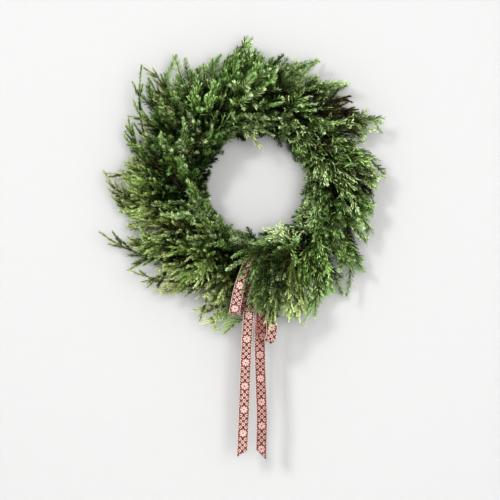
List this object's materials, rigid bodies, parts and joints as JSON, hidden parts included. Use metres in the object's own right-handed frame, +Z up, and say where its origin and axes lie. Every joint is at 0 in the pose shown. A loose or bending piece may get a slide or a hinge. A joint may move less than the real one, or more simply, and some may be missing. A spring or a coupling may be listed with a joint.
{
  "type": "fresh evergreen wreath",
  "caption": "Round wreath of fir, cedar and juniper sprays bound clockwise to a crimped wire ring, with a long-tailed ribbon bow tied low on its face; it hangs from a nail.",
  "frame": {"origin": "under the top of the wire ring, where the nail that holds the wreath bears on the wire", "axes": "+Z up, +X to the right of someone facing the wreath, +Y into the wall behind it"},
  "size_m": [0.618, 0.1338, 0.893],
  "materials": {
    "fir_needles": "dark green needles with a dull wax bloom",
    "cedar_scales": "yellow-green scale leaves, satin",
    "juniper_scales": "olive scale leaves with brown tips, dull",
    "green_wire": "green enamelled wire, satin",
    "ribbon_cloth": "woven ribbon in dusty rose with pale and maroon figures"
  },
  "bodies": {
    "root": {"wire_ring": "green_wire", "binding_wire": "green_wire", "bow_wire": "green_wire", "ribbon_bow": "ribbon_cloth", "fir_inner_01": "fir_needles", "cedar_inner_02": "cedar_scales", "cedar_inner_03": "cedar_scales", "fir_inner_04": "fir_needles", "fir_inner_05": "fir_needles", "cedar_inner_06": "cedar_scales", "fir_inner_07": "fir_needles", "fir_inner_08": "fir_needles", "fir_inner_09": "fir_needles", "fir_inner_10": "fir_needles", "fir_inner_11": "fir_needles", "fir_inner_12": "fir_needles", "fir_inner_13": "fir_needles", "fir_inner_14": "fir_needles", "fir_inner_15": "fir_needles", "fir_inner_16": "fir_needles", "fir_face_01": "fir_needles", "cedar_face_02": "cedar_scales", "cedar_face_03": "cedar_scales", "cedar_face_04": "cedar_scales", "fir_face_05": "fir_needles", "fir_face_06": "fir_needles", "fir_face_07": "fir_needles", "fir_face_08": "fir_needles", "fir_face_09": "fir_needles", "juniper_face_10": "juniper_scales", "fir_face_11": "fir_needles", "fir_face_12": "fir_needles", "fir_face_13": "fir_needles", "fir_face_14": "fir_needles", "cedar_face_15": "cedar_scales", "fir_face_16": "fir_needles", "fir_outer_01": "fir_needles", "cedar_outer_02": "cedar_scales", "cedar_outer_03": "cedar_scales", "cedar_outer_04": "cedar_scales", "fir_outer_05": "fir_needles", "cedar_outer_06": "cedar_scales", "juniper_outer_07": "juniper_scales", "juniper_outer_08": "juniper_scales", "juniper_outer_09": "juniper_scales", "juniper_outer_10": "juniper_scales", "juniper_outer_11": "juniper_scales", "juniper_outer_12": "juniper_scales", "fir_outer_13": "fir_needles", "fir_outer_14": "fir_needles", "cedar_outer_15": "cedar_scales", "fir_outer_16": "fir_needles"}
  },
  "joints": []
}
